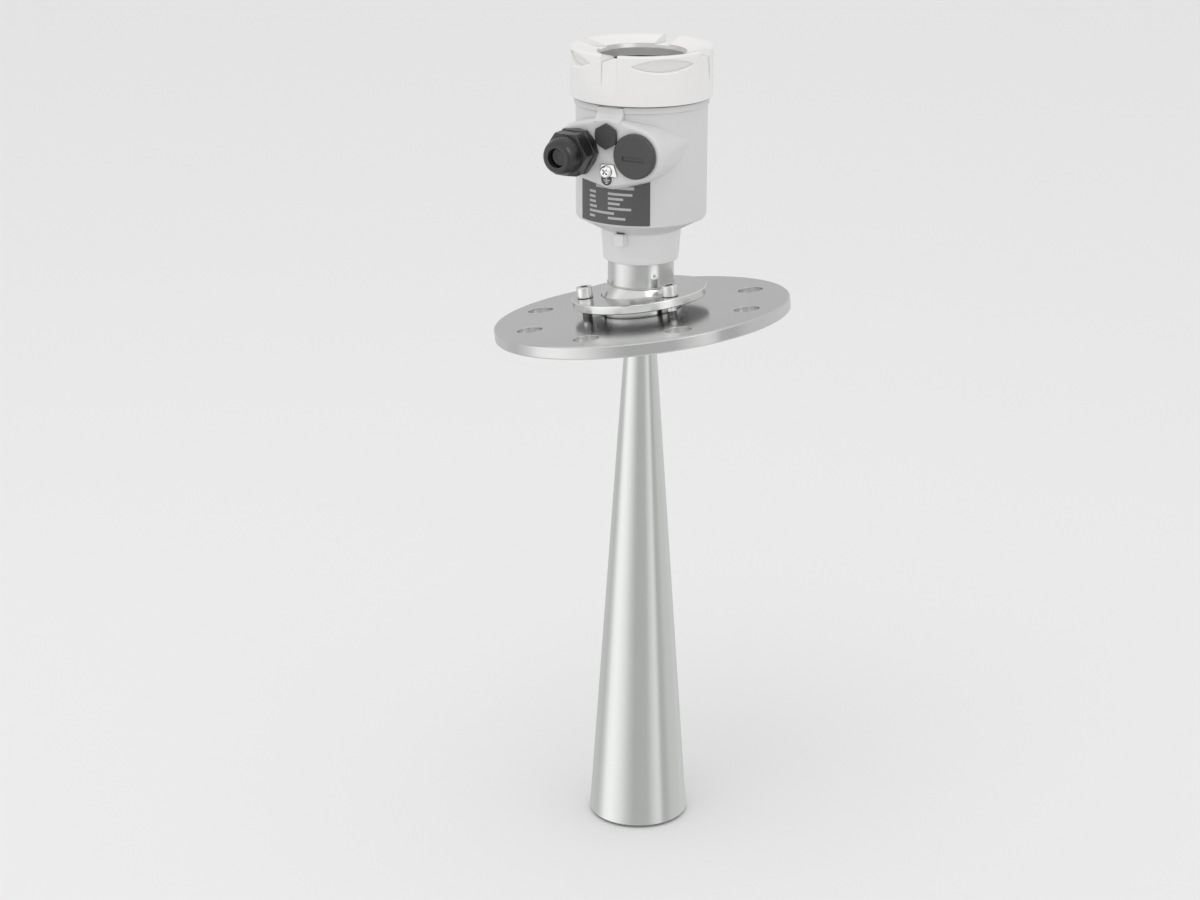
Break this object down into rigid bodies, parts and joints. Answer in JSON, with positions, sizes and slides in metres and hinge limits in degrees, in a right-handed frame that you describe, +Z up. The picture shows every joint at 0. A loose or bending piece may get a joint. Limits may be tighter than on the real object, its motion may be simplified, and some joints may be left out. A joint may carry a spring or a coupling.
{
  "type": "radar level transmitter",
  "caption": "Horn-type radar level transmitter: tiltable flange with clamped ball, long cone antenna, cast housing with window lid, cable gland and plugs.",
  "frame": {"origin": "centre of the flange's sealing face", "axes": "+Z up along the antenna and the housing as they hang plumb; the cable entries face -Y; the flange leans about Y"},
  "size_m": [0.1841, 0.185, 0.5063],
  "materials": {
    "flange_steel": "ground and brushed stainless",
    "ring_steel": "turned stainless",
    "screw_steel": "bright stainless",
    "seal_rubber": "matt black",
    "white_ptfe": "waxy white",
    "ball_steel": "turned stainless",
    "tube_steel": "turned stainless",
    "spring_steel": "dark spring steel",
    "horn_steel": "satin stainless",
    "guide_brass": "turned brass",
    "housing_coat": "pale grey powder coat",
    "label_plate": "dark grey satin",
    "gland_plastic": "black moulded nylon",
    "plug_plastic": "dark grey moulded nylon",
    "terminal_steel": "bright nickel",
    "tag_plate": "dark grey satin",
    "lid_coat": "warm white powder coat",
    "window_glass": "clear",
    "retainer_metal": "anodised grey",
    "module_plastic": "dark moulded plastic",
    "terminal_plastic": "green moulded plastic",
    "post_metal": "plain",
    "screen_face": "grey-green liquid crystal",
    "key_rubber": "grey"
  },
  "bodies": {
    "flange_side": {"flange": "flange_steel", "clamp_ring": "ring_steel", "clamp_screws": "screw_steel"},
    "swivel_seals": {"ball_seal": "seal_rubber", "upper_seat": "white_ptfe"},
    "antenna": {"swivel_ball": "ball_steel", "neck_tube": "tube_steel", "neck_seal": "seal_rubber", "retaining_ring": "spring_steel", "horn": "horn_steel", "waveguide": "guide_brass", "throat_cone": "white_ptfe"},
    "head": {"housing": "housing_coat", "label": "label_plate", "gland_gasket": "seal_rubber", "gland_body": "gland_plastic", "plug_gasket": "seal_rubber", "blind_plug": "plug_plastic", "vent_plug": "plug_plastic", "vent_seal": "seal_rubber", "ground_screw": "terminal_steel", "ground_clamp": "terminal_steel", "ground_tag": "tag_plate", "electronics_cup": "module_plastic", "terminal_block": "terminal_plastic", "terminal_screws": "terminal_steel", "display_posts": "post_metal", "display_module": "module_plastic", "display_screen": "screen_face"},
    "lid_seal": {"lid_seal": "seal_rubber"},
    "lid": {"lid": "lid_coat", "window_gasket": "seal_rubber", "window_glass": "window_glass", "window_retainer": "retainer_metal"},
    "gland_seal": {"gland_seal": "seal_rubber"},
    "gland_nut": {"gland_nut": "gland_plastic"},
    "key_1": {"key_1": "key_rubber"},
    "key_2": {"key_2": "key_rubber"},
    "key_3": {"key_3": "key_rubber"},
    "key_4": {"key_4": "key_rubber"}
  },
  "joints": [
    {"name": "swivel_turn", "type": "hinge", "parent": "flange_side", "child": "swivel_seals", "pos_m": [-0.00155, 0, 0.01134], "axis": [-0.1357, 0, 0.9907], "range_deg": [-180, 180]},
    {"name": "swivel_tilt", "type": "hinge", "parent": "swivel_seals", "child": "antenna", "pos_m": [-0.00155, 0, 0.01134], "axis": [0, 1, 0], "range_deg": [-7.8, 6.2]},
    {"name": "housing_turn", "type": "hinge", "parent": "antenna", "child": "head", "pos_m": [-0.00155, 0, 0.05134], "axis": [0, 0, 1], "range_deg": [-165, 165]},
    {"name": "lid_turn", "type": "hinge", "parent": "head", "child": "lid_seal", "pos_m": [-0.00155, 0, 0.14434], "axis": [0, 0, 1], "range_deg": [0, 1440]},
    {"name": "lid_lift", "type": "slide", "parent": "lid_seal", "child": "lid", "axis": [0, 0, 1], "range_m": [0, 0.0101]},
    {"name": "gland_turn", "type": "hinge", "parent": "head", "child": "gland_seal", "pos_m": [-0.02085, -0.0583, 0.11534], "axis": [0, -1, 0], "range_deg": [0, 720]},
    {"name": "gland_travel", "type": "slide", "parent": "gland_seal", "child": "gland_nut", "axis": [0, -1, 0], "range_m": [0, 0.0031]},
    {"name": "key_1_press", "type": "slide", "parent": "head", "child": "key_1", "axis": [0, 0, -1], "range_m": [0, 0.0006], "stiffness_N_per_m": 1500, "springref_m": -0.0003},
    {"name": "key_2_press", "type": "slide", "parent": "head", "child": "key_2", "axis": [0, 0, -1], "range_m": [0, 0.0006], "stiffness_N_per_m": 1500, "springref_m": -0.0003},
    {"name": "key_3_press", "type": "slide", "parent": "head", "child": "key_3", "axis": [0, 0, -1], "range_m": [0, 0.0006], "stiffness_N_per_m": 1500, "springref_m": -0.0003},
    {"name": "key_4_press", "type": "slide", "parent": "head", "child": "key_4", "axis": [0, 0, -1], "range_m": [0, 0.0006], "stiffness_N_per_m": 1500, "springref_m": -0.0003}
  ],
  "couplings": [
    {"joint": "lid_lift", "follows": "lid_turn", "m_per_rad": 0.00039789},
    {"joint": "gland_travel", "follows": "gland_turn", "m_per_rad": 0.00023873}
  ]
}
